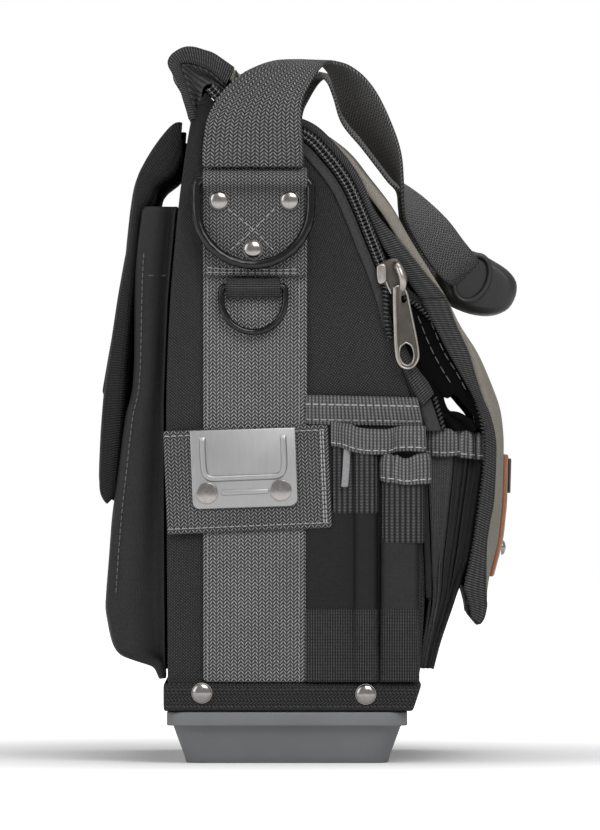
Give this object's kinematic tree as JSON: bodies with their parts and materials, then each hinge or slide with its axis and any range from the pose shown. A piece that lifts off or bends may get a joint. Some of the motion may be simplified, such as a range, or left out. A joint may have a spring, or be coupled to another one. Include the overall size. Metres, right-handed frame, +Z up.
{
  "type": "tool bag",
  "caption": "Standing soft tool bag with a zipped front flap, gusseted pockets, side tool loops, rings on its sides and a folding carry handle.",
  "frame": {"origin": "centre of the base's underside", "axes": "+Z up, -Y towards the front flap, -X towards the side with the tape clip"},
  "size_m": [0.2798, 0.1989, 0.3411],
  "materials": {
    "cloth": "coarse woven nylon",
    "grey_webbing": "herringbone webbing",
    "black_webbing": "woven webbing and ribbed binding",
    "canvas": "plain woven canvas",
    "board": "matt",
    "base_plastic": "fine grain moulding",
    "rubber": "satin moulding",
    "zip_coil": "polished coil on woven tape",
    "nickel": "dark plated",
    "black_wire": "gloss black",
    "steel": "polished",
    "leather": "satin, raw edge"
  },
  "bodies": {
    "bag": {"back_panel": "cloth", "front_panel": "cloth", "side_panel_near": "cloth", "side_panel_far": "cloth", "side_pocket_near": "cloth", "side_pocket_far": "cloth", "front_pocket_inner": "cloth", "front_pocket_middle": "cloth", "front_pocket_outer": "cloth", "back_pocket": "cloth", "side_strap_near": "grey_webbing", "side_strap_far": "grey_webbing", "d_ring_patch_near": "grey_webbing", "d_ring_patch_far": "grey_webbing", "clip_patch": "grey_webbing", "base_band": "black_webbing", "small_ring_loop_near": "black_webbing", "small_ring_loop_far": "black_webbing", "rear_tool_loop_near": "black_webbing", "rear_tool_loop_far": "black_webbing", "front_tool_loop_near": "black_webbing", "front_tool_loop_far": "black_webbing", "flap_top": "canvas", "base_board": "board", "back_stiffener": "board", "base_tub": "base_plastic", "zip_chain_near": "zip_coil", "zip_chain_far": "zip_coil", "zip_tape_body_near": "zip_coil", "zip_tape_body_far": "zip_coil", "base_rivets_near": "steel", "base_rivets_far": "steel", "d_ring_rivets_near": "steel", "d_ring_rivets_far": "steel", "tape_clip": "steel", "clip_rivets": "steel"},
    "back_flap": {"back_flap": "cloth", "closing_strap": "black_webbing", "back_flap_tab": "black_webbing"},
    "front_flap": {"front_flap": "canvas", "front_flap_binding": "black_webbing", "zip_tape_flap_near": "zip_coil", "zip_tape_flap_far": "zip_coil", "leather_patch": "leather", "patch_hook": "nickel"},
    "handle_lower": {"handle_strap_lower_near": "grey_webbing", "handle_strap_lower_far": "grey_webbing"},
    "handle_upper": {"handle_strap_upper_near": "grey_webbing", "handle_strap_upper_far": "grey_webbing", "handle_grip": "rubber"},
    "d_ring_near": {"d_ring_near": "black_wire"},
    "small_ring_near": {"small_ring_near": "black_wire"},
    "zip_slider_near": {"zip_slider_near": "nickel"},
    "zip_pull_near": {"zip_pull_near": "nickel"},
    "d_ring_far": {"d_ring_far": "black_wire"},
    "small_ring_far": {"small_ring_far": "black_wire"},
    "zip_slider_far": {"zip_slider_far": "nickel"},
    "zip_pull_far": {"zip_pull_far": "nickel"}
  },
  "joints": [
    {"name": "front_flap_hinge", "type": "hinge", "parent": "bag", "child": "front_flap", "pos_m": [0, -0.0831, 0.2108], "axis": [-1, 0, 0], "range_deg": [0, 65]},
    {"name": "back_flap_hinge", "type": "hinge", "parent": "bag", "child": "back_flap", "pos_m": [0, 0.0486, 0.3044], "axis": [1, 0, 0], "range_deg": [0, 100]},
    {"name": "handle_lean", "type": "hinge", "parent": "bag", "child": "handle_lower", "pos_m": [0, 0.0162, 0.289], "axis": [-1, 0, 0], "range_deg": [0, 18]},
    {"name": "handle_raise", "type": "hinge", "parent": "handle_lower", "child": "handle_upper", "pos_m": [0, -0.0215, 0.3341], "axis": [-1, 0, 0], "range_deg": [0, 120]},
    {"name": "d_ring_near_swing", "type": "hinge", "parent": "bag", "child": "d_ring_near", "pos_m": [-0.134, 0.0155, 0.2777], "axis": [0, 1, 0], "range_deg": [0, 150]},
    {"name": "small_ring_near_swing", "type": "hinge", "parent": "bag", "child": "small_ring_near", "pos_m": [-0.13325, 0.0155, 0.2273], "axis": [0, 1, 0], "range_deg": [0, 95]},
    {"name": "zip_near_travel", "type": "slide", "parent": "bag", "child": "zip_slider_near", "axis": [0, 0.4222, 0.9065], "range_m": [0, 0.025]},
    {"name": "zip_pull_near_swing", "type": "hinge", "parent": "zip_slider_near", "child": "zip_pull_near", "pos_m": [-0.1338, -0.05298, 0.22475], "axis": [0, 1, 0], "range_deg": [0, 120]},
    {"name": "d_ring_far_swing", "type": "hinge", "parent": "bag", "child": "d_ring_far", "pos_m": [0.134, 0.0155, 0.2777], "axis": [0, -1, 0], "range_deg": [0, 150]},
    {"name": "small_ring_far_swing", "type": "hinge", "parent": "bag", "child": "small_ring_far", "pos_m": [0.13325, 0.0155, 0.2273], "axis": [0, -1, 0], "range_deg": [0, 95]},
    {"name": "zip_far_travel", "type": "slide", "parent": "bag", "child": "zip_slider_far", "axis": [0, 0.4222, 0.9065], "range_m": [0, 0.025]},
    {"name": "zip_pull_far_swing", "type": "hinge", "parent": "zip_slider_far", "child": "zip_pull_far", "pos_m": [0.1338, -0.05298, 0.22475], "axis": [0, -1, 0], "range_deg": [0, 120]}
  ],
  "couplings": [
    {"joint": "handle_lean", "follows": "handle_raise", "ratio": 0.15}
  ]
}
